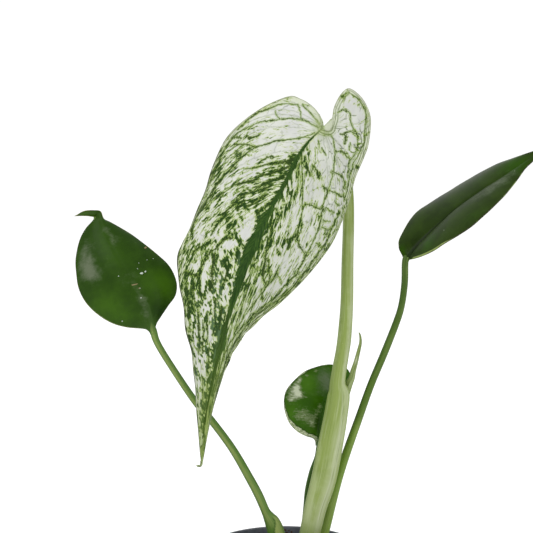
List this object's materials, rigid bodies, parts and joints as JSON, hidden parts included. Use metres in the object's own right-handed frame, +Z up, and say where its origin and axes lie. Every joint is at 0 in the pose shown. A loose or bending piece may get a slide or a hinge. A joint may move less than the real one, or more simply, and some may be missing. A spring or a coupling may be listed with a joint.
{
  "type": "potted monstera",
  "caption": "Young variegated monstera in a round nursery pot, with a long white-marbled heart-shaped leaf, smaller green leaves and a new leaf spear.",
  "frame": {"origin": "middle of the pot's underside, on the surface the pot stands on", "axes": "+Z up along the pot's axis, +X to the right as the leaves face the viewer, +Y away from the viewer"},
  "size_m": [0.2499, 0.09, 0.3311],
  "materials": {
    "pot_plastic": "matt, finely textured",
    "potting_mix": "loose bark and peat, dry on top",
    "crown_skin": "waxy, partly corky",
    "pale_stalk": "smooth, slightly waxy, streaked along its length",
    "green_stalk": "smooth, slightly waxy",
    "variegated_leaf": "satin, white with green midrib, veins and marbling",
    "green_leaf": "glossy deep green",
    "patched_leaf": "glossy green with white patches"
  },
  "bodies": {
    "root": {"pot": "pot_plastic", "soil": "potting_mix", "stem_crown": "crown_skin", "main_leaf_stalk": "pale_stalk", "new_leaf_spear": "pale_stalk", "left_leaf_stalk": "green_stalk", "right_leaf_stalk": "green_stalk", "small_leaf_stalk": "green_stalk", "main_leaf_blade": "variegated_leaf", "left_leaf_blade": "green_leaf", "right_leaf_blade": "green_leaf", "small_leaf_blade": "patched_leaf"}
  },
  "joints": []
}
